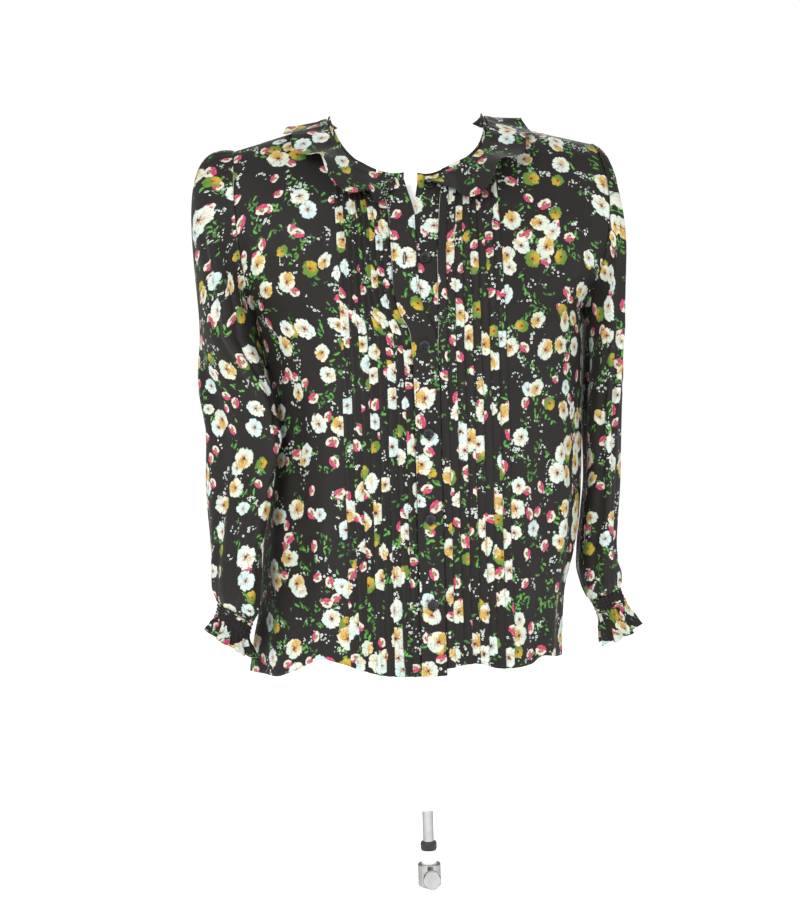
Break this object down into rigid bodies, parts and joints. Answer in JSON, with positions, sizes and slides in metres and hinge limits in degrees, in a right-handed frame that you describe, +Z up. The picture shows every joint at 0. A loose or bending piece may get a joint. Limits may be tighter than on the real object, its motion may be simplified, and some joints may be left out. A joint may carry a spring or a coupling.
{
  "type": "blouse on a limbless dress form",
  "caption": "Long-sleeved floral blouse with a tucked button front, ruffled collar and frilled elastic cuffs, on a limbless torso form with a round-based pole stand.",
  "frame": {"origin": "centre of the base plate's underside, on the floor", "axes": "+Z up the pole to the neck, -Y out of the blouse's front, +X to the wearer's left"},
  "size_m": [0.4738, 0.28, 1.062],
  "materials": {
    "floral_cloth": "smooth dark woven cloth with a small floral print",
    "button": "round dark glossy buttons",
    "form_shell": "smooth white form cover",
    "chrome": "polished chrome",
    "black_ring": "dark ring at the joint of the pole",
    "white_enamel": "white painted base plate and lower pole"
  },
  "bodies": {
    "root": {"front_right": "floral_cloth", "front_left": "floral_cloth", "back": "floral_cloth", "sleeve_right": "floral_cloth", "sleeve_left": "floral_cloth", "cuff_right": "floral_cloth", "cuff_left": "floral_cloth", "placket_right": "floral_cloth", "placket_left": "floral_cloth", "neck_binding": "floral_cloth", "collar_frill": "floral_cloth", "button_1": "button", "button_2": "button", "button_3": "button", "button_4": "button", "button_5": "button", "button_6": "button", "form_torso": "form_shell", "form_rod": "chrome", "form_clamp": "chrome", "form_knob": "chrome", "form_ring": "black_ring", "form_base": "white_enamel", "form_tube": "white_enamel"}
  },
  "joints": []
}
